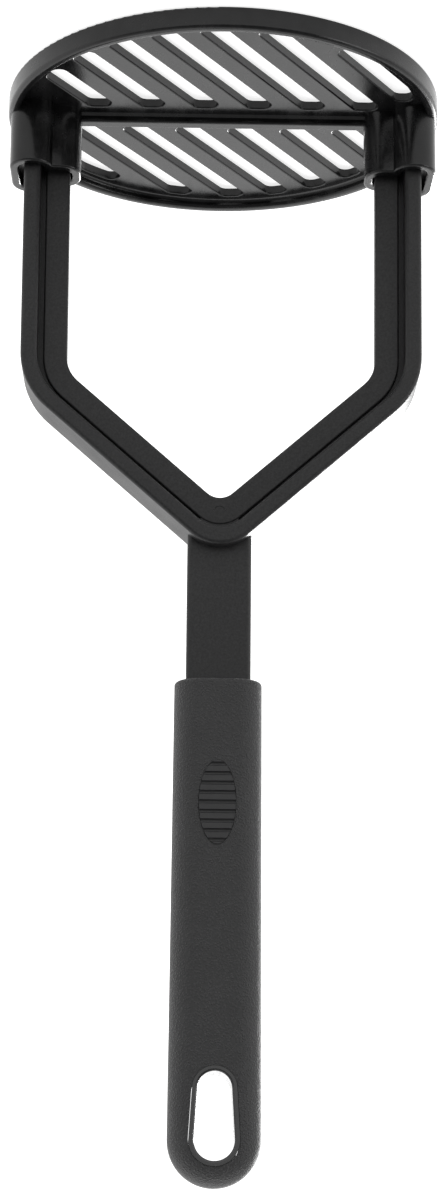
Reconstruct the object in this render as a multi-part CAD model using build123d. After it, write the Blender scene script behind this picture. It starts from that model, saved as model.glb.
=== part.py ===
from build123d import *
import math
import os

# Hand masher for potatoes and fruit: a slotted round plate, a yoke whose two arms plug into the plate,
# a flat neck, and a soft grip over a hard core. It stands on its mash face: Z = 0 is that face, +Z runs
# up to the handle's end, X runs across the yoke and -Y is the front, the side of the thumb pad.
# Millimetres and degrees.

# Mash plate
plate_radius = 53.5
sheet_bottom_z = 0.7
sheet_top_z = 3.0
rim_height = 5.5
rim_wall = 2.8
rim_foot_radius = 0.5
rim_lip_radius = 1.1
rim_root_radius = 1.0
rib_thickness = 3.3
rib_top_z = 5.2
rib_root_radius = 0.6

# Slots: parallel, slanted across the plate, seven in front of the rib and seven behind it
slot_width = 6.0
slot_pitch = 13.2
slot_slant = 32.5
slot_offset = -0.2
slot_end_radius = 48.4
slot_rib_gap = 5.5
slot_socket_gap = 11.0
slot_corner_radius = 2.1
slot_edge_radius = 0.4
slot_rows = range(-2, 5)

# Yoke: a flat web inside a deeper flange, with a shallow channel between them
web_width = 7.1
web_depth = 4.4
channel_width = 1.25
channel_depth = 1.1
flange_thickness = 4.0
flange_depth = 14.0
inner_half_width = 37.45
arm_lean = 0.55
inner_peak_z = 104.4
roof_slope = 41.5
inner_apex_radius = 4.5
apex_opening = 0.5
inner_bend_radius = 8.0
arm_foot_z = 3.6
flange_edge_radius = 1.0
web_edge_radius = 0.5
ejector_mark_radius = 1.4
ejector_mark_depth = 0.2
ejector_mark_z = 106.4

# Sockets that the yoke's arms plug into: a round-ended lobe round the flange and a lower one round the web
socket_height = 19.6
socket_lobe_half_x = 5.35
socket_lobe_half_y = 10.0
socket_lobe_center_x = 47.3
socket_inner_x = 35.3
socket_inner_half_y = 6.1
socket_inner_radius = 4.6
socket_mouth_depth = 3.0
socket_mouth_wall = 2.2
socket_mouth_end_x = 37.5
socket_mouth_half_y = 3.4
socket_lip_radius = 0.6
socket_fit = 0.1

# Neck, with a pocket for the yoke's spigot and a tang inside the handle
neck_width = 15.3
neck_depth = 7.2
neck_end_z = 111.6
neck_corner_radius = 1.3
neck_edge_radius = 1.1
spigot_width = 9.0
spigot_depth = 4.0
spigot_end_z = 132.0
tang_width = 10.4
tang_depth = 5.2
tang_end_z = 210.0

# Handle: a soft grip over a hard core
grip_start_z = 148.6
grip_end_z = 264.8
grip_start_width = 20.6
grip_end_width = 21.3
grip_depth = 16.0
grip_edge_radius = 6.0
grip_mouth_radius = 0.9
grip_wall = 2.5
core_edge_radius = 3.5

# Hanging hole, an oblong that widens towards the handle's end
hole_start_z = 239.2
hole_end_z = 259.0
hole_start_radius = 3.9
hole_end_radius = 4.6
liner_wall = 1.2
liner_bevel = 0.5

# Thumb pad: an oval with cross grooves, let into the front of the grip
pad_center_z = 178.0
pad_width = 8.5
pad_length = 19.6
pad_depth = 1.6
pad_stand = 0.25
pad_fit = 0.12
groove_count = 9
groove_pitch = 2.22
groove_depth = 0.5

fit = 0.1


def both_ways(face, depth):
    """A face drawn in the XZ plane, extruded to the given depth about Y = 0."""
    return extrude(face, amount=depth / 2, both=True)


def upright_box(width, depth, start_z, end_z):
    """A box about the Z axis, from one height to another."""
    box = Box(width, depth, end_z - start_z, align=(Align.CENTER, Align.CENTER, Align.MIN))
    return Pos(0, 0, start_z) * box


def edges_at_depth(solid, y_half):
    """The edges that lie in the planes Y = +y_half and Y = -y_half."""
    return [
        edge
        for edge in solid.edges()
        if all(abs(abs(point.Y) - y_half) < 1e-4 for point in (edge @ 0, edge @ 0.5, edge @ 1))
    ]


def inner_edges_at(solid, z, reach, gap=0.0):
    """The edges at height z that stay within reach of the Z axis and clear of the plane Y = 0."""
    return [
        edge
        for edge in solid.edges()
        if all(
            abs(point.Z - z) < 1e-4 and math.hypot(point.X, point.Y) < reach and abs(point.Y) >= gap
            for point in (edge @ 0, edge @ 0.5, edge @ 1)
        )
    ]


def slot_outline(row):
    """A slot in front of the rib: a slanted strip, cut off along rib and rim, with round corners."""
    strip = Rot(0, 0, slot_slant) * Rectangle(slot_width, 3 * plate_radius)
    strip = Pos(slot_offset - row * slot_pitch, 0) * strip
    by_socket = row == slot_rows[-1]
    gap = slot_socket_gap if by_socket else slot_rib_gap
    front_half = Pos(0, -gap - plate_radius) * Rectangle(2 * plate_radius, 2 * plate_radius)
    outline = strip & Circle(slot_end_radius) & front_half
    return fillet(outline.vertices(), slot_corner_radius)


def rounded_corners(face, corners):
    """The face with each listed corner rounded: (x, y, radius)."""
    for x, y, radius in corners:
        corner = face.vertices().sort_by_distance((x, y, 0))[0]
        face = fillet(corner, radius)
    return face


def rim_section():
    """Half of the plate's section: the thin sheet, held between the foot and the lip of its rim."""
    wall_radius = plate_radius - rim_wall
    outline = Polyline(
        (0, sheet_bottom_z),
        (wall_radius, sheet_bottom_z),
        (wall_radius, 0),
        (plate_radius, 0),
        (plate_radius, rim_height),
        (wall_radius, rim_height),
        (wall_radius, sheet_top_z),
        (0, sheet_top_z),
        close=True,
    )
    corners = [
        (plate_radius, 0, rim_foot_radius),
        (plate_radius, rim_height, rim_lip_radius),
        (wall_radius, rim_height, rim_lip_radius),
        (wall_radius, sheet_top_z, rim_root_radius),
    ]
    return Plane.XZ * rounded_corners(make_face(outline), corners)


def centre_rib():
    """The low rib across the plate, flared at its foot."""
    half = rib_thickness / 2
    foot = half + rib_root_radius
    outline = Polyline(
        (-foot, sheet_bottom_z),
        (foot, sheet_bottom_z),
        (foot, sheet_top_z),
        (half, sheet_top_z + rib_root_radius),
        (half, rib_top_z),
        (-half, rib_top_z),
        (-half, sheet_top_z + rib_root_radius),
        (-foot, sheet_top_z),
        close=True,
    )
    tops = [(half, rib_top_z, rib_root_radius), (-half, rib_top_z, rib_root_radius)]
    section = Plane.YZ * rounded_corners(make_face(outline), tops)
    return extrude(section, amount=plate_radius - rim_wall / 2, both=True)


def socket_block(side):
    """One socket's solid block, before it is hollowed."""
    outer_lobe = SlotOverall(2 * socket_lobe_half_y, 2 * socket_lobe_half_x, rotation=90)
    outer_lobe = Pos(side * socket_lobe_center_x, 0) * outer_lobe
    inner_width = socket_lobe_center_x - socket_inner_x
    inner_lobe = Rectangle(inner_width, 2 * socket_inner_half_y)
    inner_lobe = Pos(side * (socket_inner_x + inner_width / 2), 0) * inner_lobe
    ends = [v for v in inner_lobe.vertices() if abs(abs(v.X) - socket_inner_x) < 0.01]
    inner_lobe = fillet(ends, socket_inner_radius)
    return Pos(0, 0, sheet_bottom_z) * extrude(outer_lobe + inner_lobe, amount=socket_height - sheet_bottom_z)


def socket_mouth(side):
    """The wider, round-ended space at a socket's mouth."""
    half_x = socket_lobe_half_x - socket_mouth_wall
    half_y = socket_lobe_half_y - socket_mouth_wall
    outer = Pos(side * socket_lobe_center_x, 0) * SlotOverall(2 * half_y, 2 * half_x, rotation=90)
    width = socket_lobe_center_x - socket_mouth_end_x
    inner = Rectangle(width, 2 * socket_mouth_half_y)
    inner = Pos(side * (socket_mouth_end_x + width / 2), 0) * inner
    ends = [v for v in inner.vertices() if abs(abs(v.X) - socket_mouth_end_x) < 0.01]
    inner = fillet(ends, socket_mouth_half_y * 0.7)
    mouth = extrude(outer + inner, amount=socket_mouth_depth + 1)
    return Pos(0, 0, socket_height - socket_mouth_depth) * mouth


def arm_seats():
    """The arms' own form with its fit, from their feet up."""
    rim = web_width + flange_thickness
    web = yoke_outline(web_width + flange_thickness / 2) - yoke_outline(-socket_fit)
    flange = yoke_outline(rim + socket_fit) - yoke_outline(web_width - socket_fit)
    return both_ways(web, web_depth + 2 * socket_fit) + both_ways(flange, flange_depth + 2 * socket_fit)


def slotted_plate():
    """The round plate with its rim, rib and slots."""
    plate = revolve(rim_section(), Axis.Z) + centre_rib()
    for row in slot_rows:
        cutter = extrude(slot_outline(row), amount=rim_height)
        plate -= cutter
        plate -= Rot(0, 0, 180) * cutter
    slot_edges = inner_edges_at(plate, sheet_top_z, slot_end_radius + 0.1, slot_rib_gap - 0.1)
    return fillet(slot_edges, slot_edge_radius)


def mash_plate():
    plate = slotted_plate()
    for side in (-1, 1):
        block = socket_block(side) - socket_mouth(side)
        plate += fillet(inner_edges_at(block, socket_height, plate_radius), socket_lip_radius)
    return plate - arm_seats()


def yoke_outline(grow):
    """The area inside the yoke's inner edge, grown outwards; the arms lean in towards the roof."""
    slope = math.radians(roof_slope)
    half_width = inner_half_width + grow
    peak_z = inner_peak_z + grow / math.cos(slope)
    bend_z = peak_z - half_width * math.tan(slope)
    corners = [
        (-half_width - arm_lean, arm_foot_z),
        (half_width + arm_lean, arm_foot_z),
        (half_width, bend_z),
        (0, peak_z),
        (-half_width, bend_z),
    ]
    outline = make_face(Polyline(*corners, close=True))
    peak = outline.vertices().sort_by(Axis.Y)[-1:]
    outline = fillet(peak, inner_apex_radius + grow * apex_opening)
    bends = [v for v in outline.vertices() if abs(v.Y - bend_z) < 0.01]
    outline = fillet(bends, inner_bend_radius + grow)
    return Plane.XZ * outline


def yoke_web():
    """The flat web: a raised band with rounded edges, on a thinner sheet that runs into the flange."""
    band = both_ways(yoke_outline(web_width - channel_width) - yoke_outline(0), web_depth)
    edges = [edge for edge in edges_at_depth(band, web_depth / 2) if (edge @ 0.5).Z > arm_foot_z + 1]
    sheet = yoke_outline(web_width + flange_thickness / 2) - yoke_outline(web_width / 2)
    return fillet(edges, web_edge_radius) + both_ways(sheet, web_depth - 2 * channel_depth)


def yoke_flange():
    """The deeper flange, with its long edges rounded."""
    flange = both_ways(yoke_outline(web_width + flange_thickness) - yoke_outline(web_width), flange_depth)
    return fillet(edges_at_depth(flange, flange_depth / 2), flange_edge_radius)


def yoke_frame():
    mark = Cylinder(ejector_mark_radius, 2 * ejector_mark_depth)
    mark = Pos(0, -web_depth / 2, ejector_mark_z) * Rot(90, 0, 0) * mark
    spigot = upright_box(spigot_width, spigot_depth, inner_peak_z, spigot_end_z)
    return yoke_web() - mark + yoke_flange() + spigot


def neck_shaft():
    height = grip_start_z - neck_end_z
    front = Pos(0, neck_end_z + height / 2) * Rectangle(neck_width, height)
    lower_corners = front.vertices().sort_by(Axis.Y)[:2]
    neck = both_ways(Plane.XZ * fillet(lower_corners, neck_corner_radius), neck_depth)
    neck = fillet(neck.edges().filter_by(Axis.Z), neck_edge_radius)
    neck += upright_box(tang_width, tang_depth, grip_start_z, tang_end_z)
    neck -= upright_box(spigot_width + 2 * fit, spigot_depth + 2 * fit, neck_end_z, spigot_end_z + 1)
    seat = both_ways(yoke_outline(web_width + flange_thickness), 2 * flange_depth)
    return neck - seat


def grip_outline(inset):
    """The handle's outline from the front, a slow taper with a round end, drawn inwards by the inset."""
    end_radius = grip_end_width / 2 - inset
    start_half = grip_start_width / 2 - inset
    round_z = grip_end_z - grip_end_width / 2
    body = Polyline(
        (-start_half, grip_start_z),
        (start_half, grip_start_z),
        (end_radius, round_z),
        (-end_radius, round_z),
        close=True,
    )
    return Plane.XZ * (make_face(body) + Pos(0, round_z) * Circle(end_radius))


def grip_form(inset, edge_radius):
    """The handle's solid form, drawn inwards by the inset, with its long edges rounded."""
    depth = grip_depth - 2 * inset
    form = both_ways(grip_outline(inset), depth)
    long_edges = [edge for edge in edges_at_depth(form, depth / 2) if edge.bounding_box().size.Z > 1]
    return fillet(long_edges, edge_radius)


def hole_outline(grow):
    """The hanging hole's outline, grown outwards: two round ends joined by straight flanks."""
    start_z = hole_start_z + hole_start_radius
    end_z = hole_end_z - hole_end_radius
    start = Pos(0, start_z) * Circle(hole_start_radius + grow)
    end = Pos(0, end_z) * Circle(hole_end_radius + grow)
    return Plane.XZ * make_hull((start + end).edges())


def handle_core():
    core = grip_form(grip_wall + fit, core_edge_radius)
    core &= upright_box(2 * grip_end_width, 2 * grip_depth, grip_start_z + fit, grip_end_z)
    core -= upright_box(tang_width + 2 * fit, tang_depth + 2 * fit, grip_start_z, tang_end_z + 1)
    return core - both_ways(hole_outline(liner_wall + fit), 2 * grip_depth)


def pad_outline(grow):
    return Plane.XZ * Pos(0, pad_center_z) * Ellipse(pad_width / 2 + grow, pad_length / 2 + grow)


def grip_sleeve():
    grip = grip_form(0, grip_edge_radius)
    mouth = [edge for edge in grip.edges() if edge.bounding_box().max.Z < grip_start_z + 0.01]
    grip = fillet(mouth, grip_mouth_radius)
    grip -= grip_form(grip_wall, core_edge_radius + fit)
    grip -= both_ways(hole_outline(liner_wall + fit), 2 * grip_depth)
    recess = extrude(pad_outline(pad_fit), amount=pad_depth)
    return grip - Pos(0, pad_depth - grip_depth / 2, 0) * recess


def thumb_pad():
    pad = extrude(pad_outline(0), amount=pad_depth + pad_stand - fit)
    pad = Pos(0, pad_depth - fit - grip_depth / 2, 0) * pad
    front_y = -grip_depth / 2 - pad_stand
    for index in range(groove_count):
        z = pad_center_z + (index - (groove_count - 1) / 2) * groove_pitch
        pad -= Pos(0, front_y, z) * Rot(0, 90, 0) * Cylinder(groove_depth, pad_width)
    return pad


def hang_hole_liner():
    liner = both_ways(hole_outline(liner_wall) - hole_outline(0), grip_depth)
    rims = [edge for face in liner.faces() for wire in face.inner_wires() for edge in wire.edges()]
    return fillet(rims, liner_bevel)


parts = {
    "mash_plate": mash_plate(),
    "yoke_frame": yoke_frame(),
    "neck_shaft": neck_shaft(),
    "handle_core": handle_core(),
    "grip_sleeve": grip_sleeve(),
    "thumb_pad": thumb_pad(),
    "hang_hole_liner": hang_hole_liner(),
}
os.makedirs("parts", exist_ok=True)
for name, solid in parts.items():
    export_step(solid, f"parts/{name}.step")
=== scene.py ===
import math

import bpy
from mathutils import Matrix, Vector

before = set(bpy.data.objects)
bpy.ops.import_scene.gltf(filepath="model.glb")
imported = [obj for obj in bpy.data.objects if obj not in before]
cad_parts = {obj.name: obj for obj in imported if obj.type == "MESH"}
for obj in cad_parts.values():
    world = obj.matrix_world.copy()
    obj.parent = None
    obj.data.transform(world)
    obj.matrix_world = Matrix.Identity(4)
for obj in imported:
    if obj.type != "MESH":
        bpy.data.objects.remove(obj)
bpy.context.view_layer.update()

# Camera: metres and degrees, from the front at about arm's length. The picture is taken with the plate
# at the top, so the camera's own up points to the plate. Its focal length is in image heights.
CAMERA_PLACE = Vector((0.0086, -0.6000, 0.2858))
CAMERA_YAW = -0.93
CAMERA_PITCH = 14.75
CAMERA_ROLL = 0.50
CAMERA_FOCAL = 2.1692
SENSOR = 36.0

# Floor: a wide plane just under the object that glows, so that it reads as plain white. Metres.
FLOOR_HALF_SIZE = 30.0
FLOOR_DROP = 0.0002
FLOOR_GLOW = 0.80

# Sky: how strong it is on its dark and bright sides, and where along BRIGHT_SIDE it changes
FRONT_SKY = 0.30
BACK_SKY = 1.70
BRIGHT_SIDE = (0.35, 0.94, 0.0)
SKY_DARK_AT = -0.75
SKY_BRIGHT_AT = 0.45

# Soft area lights: large panels out of the picture
SOFT_LIGHTS = {
    # name: (place, aims at, width, height, watts)
    "overhead": ((0.3, 0.4, 1.8), (0, 0, 0.05), 2.2, 1.6, 14),
    "low_side": ((-1.1, 2.4, 0.35), (0, 0, 0.1), 1.2, 0.7, 60),
    "front_side": ((-1.6, -0.7, 0.30), (0, 0, 0.15), 1.0, 0.8, 10),
}

# The middle part of a noise's values, wide and narrow, that a shade is spread over
WIDE_SPREAD = (0.3, 0.7)
NARROW_SPREAD = (0.35, 0.65)

# How far a rounded normal turns from the real one (their dot product) off an edge and on it
OFF_EDGE = 0.995
ON_EDGE = 0.90

# The colour sockets of a Mix node share their names with its other sockets, so they go by number
MIX_FACTOR = 0
MIX_FIRST = 6
MIX_SECOND = 7


def make_camera():
    """The camera, turned by its yaw, pitch and roll. Its image right is the object's -X side."""
    yaw, pitch, roll = (math.radians(angle) for angle in (CAMERA_YAW, CAMERA_PITCH, CAMERA_ROLL))
    forward = Vector((math.sin(yaw) * math.cos(pitch), math.cos(yaw) * math.cos(pitch), -math.sin(pitch)))
    level_right = Vector((-math.cos(yaw), math.sin(yaw), 0))
    level_down = forward.cross(level_right)
    right = math.cos(roll) * level_right - math.sin(roll) * level_down
    down = math.sin(roll) * level_right + math.cos(roll) * level_down
    data = bpy.data.cameras.new("camera")
    data.sensor_width = SENSOR
    data.lens = SENSOR * CAMERA_FOCAL
    camera = bpy.data.objects.new("camera", data)
    bpy.context.scene.collection.objects.link(camera)
    turn = Matrix((right, -down, -forward)).transposed().to_4x4()
    camera.matrix_world = Matrix.Translation(CAMERA_PLACE) @ turn
    bpy.context.scene.camera = camera


class Shader:
    """A node material under construction: short calls that add nodes and join them."""

    def __init__(self, name):
        self.material = bpy.data.materials.new(name)
        self.material.use_nodes = True
        self.nodes = self.material.node_tree.nodes
        self.links = self.material.node_tree.links
        self.surface = self.nodes["Principled BSDF"]
        self.place = self.nodes.new("ShaderNodeTexCoord").outputs["Object"]

    def put(self, value, socket):
        """Joins an output to a socket, or sets the socket to a constant."""
        if isinstance(value, bpy.types.NodeSocket):
            self.links.new(value, socket)
        else:
            socket.default_value = value

    def stretch(self, scale):
        """The object's own coordinates, scaled along each axis."""
        node = self.nodes.new("ShaderNodeMapping")
        node.inputs["Scale"].default_value = scale
        self.links.new(self.place, node.inputs["Vector"])
        return node.outputs["Vector"]

    def noise(self, scale, detail=3.0, rough=0.5, place=None):
        node = self.nodes.new("ShaderNodeTexNoise")
        node.inputs["Scale"].default_value = scale
        node.inputs["Detail"].default_value = detail
        node.inputs["Roughness"].default_value = rough
        self.links.new(place or self.place, node.inputs["Vector"])
        return node.outputs["Fac"]

    def cells(self, scale, feature="F1"):
        node = self.nodes.new("ShaderNodeTexVoronoi")
        node.feature = feature
        node.inputs["Scale"].default_value = scale
        self.links.new(self.place, node.inputs["Vector"])
        return node.outputs["Distance"]

    def span(self, value, low, high, to_low, to_high):
        """A value moved from one range to another, and held inside it."""
        node = self.nodes.new("ShaderNodeMapRange")
        self.links.new(value, node.inputs["Value"])
        for name, number in zip(("From Min", "From Max", "To Min", "To Max"), (low, high, to_low, to_high)):
            node.inputs[name].default_value = number
        return node.outputs["Result"]

    def math(self, operation, first, second):
        node = self.nodes.new("ShaderNodeMath")
        node.operation = operation
        self.put(first, node.inputs[0])
        self.put(second, node.inputs[1])
        return node.outputs["Value"]

    def tint(self, factor, low, high):
        """A colour between two, picked by a factor from 0 to 1."""
        node = self.nodes.new("ShaderNodeMix")
        node.data_type = "RGBA"
        self.put(factor, node.inputs[MIX_FACTOR])
        self.put((*low, 1), node.inputs[MIX_FIRST])
        self.put((*high, 1), node.inputs[MIX_SECOND])
        return node.outputs[2]

    def edges(self, radius):
        """1 along the object's convex and concave edges, 0 on its flat faces."""
        bevel = self.nodes.new("ShaderNodeBevel")
        bevel.samples = 4
        bevel.inputs["Radius"].default_value = radius
        geometry = self.nodes.new("ShaderNodeNewGeometry")
        dot = self.nodes.new("ShaderNodeVectorMath")
        dot.operation = "DOT_PRODUCT"
        self.links.new(bevel.outputs["Normal"], dot.inputs[0])
        self.links.new(geometry.outputs["Normal"], dot.inputs[1])
        return self.span(dot.outputs["Value"], OFF_EDGE, ON_EDGE, 0.0, 1.0)

    def bump(self, height, distance, strength=1.0):
        node = self.nodes.new("ShaderNodeBump")
        node.inputs["Distance"].default_value = distance
        node.inputs["Strength"].default_value = strength
        self.links.new(height, node.inputs["Height"])
        self.links.new(node.outputs["Normal"], self.surface.inputs["Normal"])

    def finish(self, color, roughness, specular, **constants):
        """Sets the surface; each other constant is named as its socket, in lower case with underscores."""
        self.put(color, self.surface.inputs["Base Color"])
        self.put(roughness, self.surface.inputs["Roughness"])
        self.surface.inputs["Specular IOR Level"].default_value = specular
        for name, value in constants.items():
            self.surface.inputs[name.replace("_", " ").title()].default_value = value
        return self.material


def satin_nylon():
    """The yoke and neck: spark-eroded mould finish, a fine even frost with slightly polished edges, whose
    colour is lightened as a painted highlight.
    """
    shader = Shader("satin_nylon")
    frost = shader.noise(1700, 4.0, 0.7)
    cloud = shader.noise(70, 4.0, 0.6)
    edge = shader.edges(0.0005)
    speckle = shader.span(frost, *NARROW_SPREAD, 0.0, 0.6)
    shade = shader.math("ADD", speckle, shader.span(cloud, *WIDE_SPREAD, 0.0, 0.3))
    # Painted highlight: the colour is made lighter along the edges.
    shade = shader.math("ADD", shade, shader.math("MULTIPLY", edge, 0.3))
    color = shader.tint(shade, (0.004, 0.004, 0.0042), (0.019, 0.019, 0.0195))
    polish = shader.math("MULTIPLY", edge, 0.10)
    rough = shader.math("SUBTRACT", shader.span(cloud, *WIDE_SPREAD, 0.40, 0.50), polish)
    shader.bump(frost, 0.00006, 0.6)
    return shader.finish(color, rough, 0.26)


def flow_marked_nylon():
    """The plate: glossier nylon with the cloudy flow marks of a thin moulding, and a painted highlight that
    lightens its edges.
    """
    shader = Shader("flow_marked_nylon")
    frost = shader.noise(2400, 3.0)
    flow = shader.noise(1.0, 4.0, 0.65, shader.stretch((150, 40, 150)))
    edge = shader.edges(0.0004)
    marks = shader.span(flow, *NARROW_SPREAD, 0.0, 0.6)
    # Painted highlight: the colour is made lighter along the edges, on top of the flow marks.
    shade = shader.math("ADD", marks, shader.math("MULTIPLY", edge, 0.4))
    color = shader.tint(shade, (0.002, 0.002, 0.0021), (0.012, 0.012, 0.0124))
    rough = shader.span(flow, *NARROW_SPREAD, 0.16, 0.30)
    shader.bump(shader.math("ADD", frost, shader.math("MULTIPLY", flow, 3.0)), 0.00004, 0.5)
    return shader.finish(color, rough, 0.28)


def pebbled_grip():
    """The soft grip: matte rubber with a fine pebble grain."""
    shader = Shader("pebbled_grip")
    pebbles = shader.span(shader.cells(2000), 0.0, 0.6, 1.0, 0.0)
    fine = shader.noise(6500, 2.0)
    cloud = shader.noise(110, 4.0, 0.6)
    grain = shader.math("ADD", pebbles, shader.math("MULTIPLY", fine, 0.4))
    patches = shader.span(cloud, *WIDE_SPREAD, 0.6, 1.0)
    shade = shader.math("MULTIPLY", patches, shader.span(pebbles, 0.2, 0.9, 0.4, 1.0))
    color = shader.tint(shade, (0.005, 0.005, 0.0053), (0.021, 0.021, 0.0218))
    shader.bump(grain, 0.00020, 0.9)
    rough = shader.span(fine, *WIDE_SPREAD, 0.55, 0.70)
    return shader.finish(color, rough, 0.45, sheen_weight=0.10, sheen_roughness=0.4)


def smooth_rubber():
    """The thumb pad: the grip's rubber with no grain, with a painted highlight that lightens the colour
    along its ribs and edges.
    """
    shader = Shader("smooth_rubber")
    cloud = shader.noise(400, 3.0)
    edge = shader.edges(0.0003)
    # Painted highlight: the colour is made lighter along the edges of the ribs.
    color = shader.tint(shader.math("MULTIPLY", edge, 0.8), (0.010, 0.010, 0.0105), (0.022, 0.022, 0.023))
    shader.bump(shader.noise(4200, 2.0), 0.00003, 0.4)
    return shader.finish(color, shader.span(cloud, *WIDE_SPREAD, 0.42, 0.55), 0.42)


def polished_plastic():
    """The hanging hole's liner: polished moulded plastic with faint draw lines along the hole."""
    shader = Shader("polished_plastic")
    lines = shader.noise(1.0, 2.0, 0.5, shader.stretch((2200, 120, 2200)))
    shade = shader.span(lines, *NARROW_SPREAD, 0.0, 1.0)
    color = shader.tint(shade, (0.010, 0.010, 0.0105), (0.016, 0.016, 0.0165))
    shader.bump(lines, 0.00001, 0.4)
    return shader.finish(color, shader.span(lines, *NARROW_SPREAD, 0.10, 0.18), 0.5)


def plain_plastic():
    """The hard core, hidden inside the grip."""
    shader = Shader("plain_plastic")
    cloud = shader.noise(200, 3.0)
    color = shader.tint(cloud, (0.012, 0.012, 0.012), (0.020, 0.020, 0.020))
    shader.bump(shader.noise(3000, 2.0), 0.00003, 0.4)
    return shader.finish(color, shader.span(cloud, *WIDE_SPREAD, 0.40, 0.50), 0.4)


def give_materials():
    """Every CAD piece gets its own finish in place of the plain one."""
    nylon = satin_nylon()
    finishes = {
        "mash_plate": flow_marked_nylon(),
        "yoke_frame": nylon,
        "neck_shaft": nylon,
        "handle_core": plain_plastic(),
        "grip_sleeve": pebbled_grip(),
        "thumb_pad": smooth_rubber(),
        "hang_hole_liner": polished_plastic(),
    }
    for node, material in finishes.items():
        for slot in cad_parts[node].material_slots:
            slot.material = material


def floor_paint():
    """Matt grey paint, with a glow that lifts it to white."""
    shader = Shader("floor_paint")
    cloud = shader.noise(3.0, 3.0)
    color = shader.tint(cloud, (0.44, 0.44, 0.44), (0.47, 0.47, 0.47))
    shader.surface.inputs["Emission Color"].default_value = (1, 1, 1, 1)
    shader.surface.inputs["Emission Strength"].default_value = FLOOR_GLOW
    return shader.finish(color, 0.9, 0.2)


def make_floor():
    """The floor, just under the object's foot."""
    mesh = bpy.data.meshes.new("floor")
    half = FLOOR_HALF_SIZE
    corners = [(-half, -half, 0), (half, -half, 0), (half, half, 0), (-half, half, 0)]
    mesh.from_pydata(corners, [], [range(len(corners))])
    floor = bpy.data.objects.new("floor", mesh)
    floor.location.z = -FLOOR_DROP
    bpy.context.scene.collection.objects.link(floor)
    mesh.materials.append(floor_paint())


def make_sky():
    """An even studio surround, brighter behind the object than in front of it."""
    world = bpy.data.worlds.new("studio")
    bpy.context.scene.world = world
    world.use_nodes = True
    nodes, links = world.node_tree.nodes, world.node_tree.links
    direction = nodes.new("ShaderNodeTexCoord").outputs["Generated"]
    along = nodes.new("ShaderNodeVectorMath")
    along.operation = "DOT_PRODUCT"
    along.inputs[1].default_value = BRIGHT_SIDE
    links.new(direction, along.inputs[0])
    level = nodes.new("ShaderNodeMapRange")
    level.interpolation_type = "SMOOTHSTEP"
    links.new(along.outputs["Value"], level.inputs["Value"])
    ends = {"From Min": SKY_DARK_AT, "From Max": SKY_BRIGHT_AT, "To Min": FRONT_SKY, "To Max": BACK_SKY}
    for name, number in ends.items():
        level.inputs[name].default_value = number
    links.new(level.outputs["Result"], nodes["Background"].inputs["Strength"])
    nodes["Background"].inputs["Color"].default_value = (1, 1, 1, 1)


def make_soft_lights():
    """The area lights, each turned to face what it aims at."""
    for name, (place, target, width, height, watts) in SOFT_LIGHTS.items():
        data = bpy.data.lights.new(name, "AREA")
        data.shape = "RECTANGLE"
        data.size = width
        data.size_y = height
        data.energy = watts
        lamp = bpy.data.objects.new(name, data)
        lamp.location = place
        lamp.rotation_mode = "QUATERNION"
        lamp.rotation_quaternion = (Vector(target) - Vector(place)).to_track_quat("-Z", "Y")
        bpy.context.scene.collection.objects.link(lamp)


make_camera()
make_floor()
make_sky()
make_soft_lights()
bpy.context.scene.view_settings.view_transform = "Standard"
give_materials()
